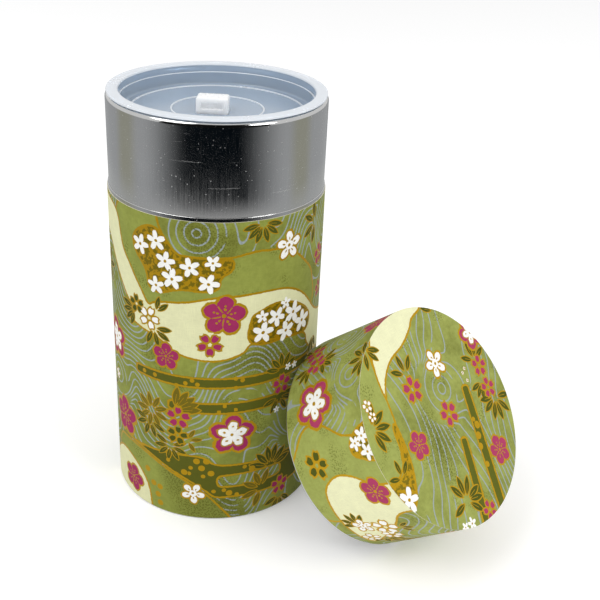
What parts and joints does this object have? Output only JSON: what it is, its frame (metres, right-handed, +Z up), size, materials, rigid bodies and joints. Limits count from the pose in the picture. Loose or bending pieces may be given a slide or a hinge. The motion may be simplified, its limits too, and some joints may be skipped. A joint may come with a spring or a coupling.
{
  "type": "tea caddy",
  "caption": "Tall round tea tin covered in printed paper up to its bare steel neck, with a translucent pull-out inner lid and a matching slip-on cap leaning beside it.",
  "frame": {"origin": "centre of the can's base, on the can's axis", "axes": "+Z up along the can's axis; the cap leans on the can at +X and a little towards -Y, which is the front"},
  "size_m": [0.1581, 0.1198, 0.1602],
  "materials": {
    "bare_tinplate": "satin, fine grain along the can's axis",
    "printed_paper": null,
    "translucent_plastic": "translucent natural polypropylene, soft gloss"
  },
  "bodies": {
    "can": {"inner_barrel": "bare_tinplate", "outer_barrel": "bare_tinplate", "base_plate": "bare_tinplate", "body_washi": "printed_paper"},
    "inner_lid": {"inner_lid": "translucent_plastic"},
    "outer_lid": {"lid_barrel": "bare_tinplate", "lid_top_plate": "bare_tinplate", "lid_side_washi": "printed_paper", "lid_top_washi": "printed_paper"}
  },
  "joints": [
    {"name": "inner_lid_pull", "type": "slide", "parent": "can", "child": "inner_lid", "axis": [0, 0, 1], "range_m": [0, 0.06]},
    {"name": "outer_lid_lift", "type": "slide", "parent": "can", "child": "outer_lid", "axis": [0, 0, 1], "range_m": [0, 0.18]}
  ]
}
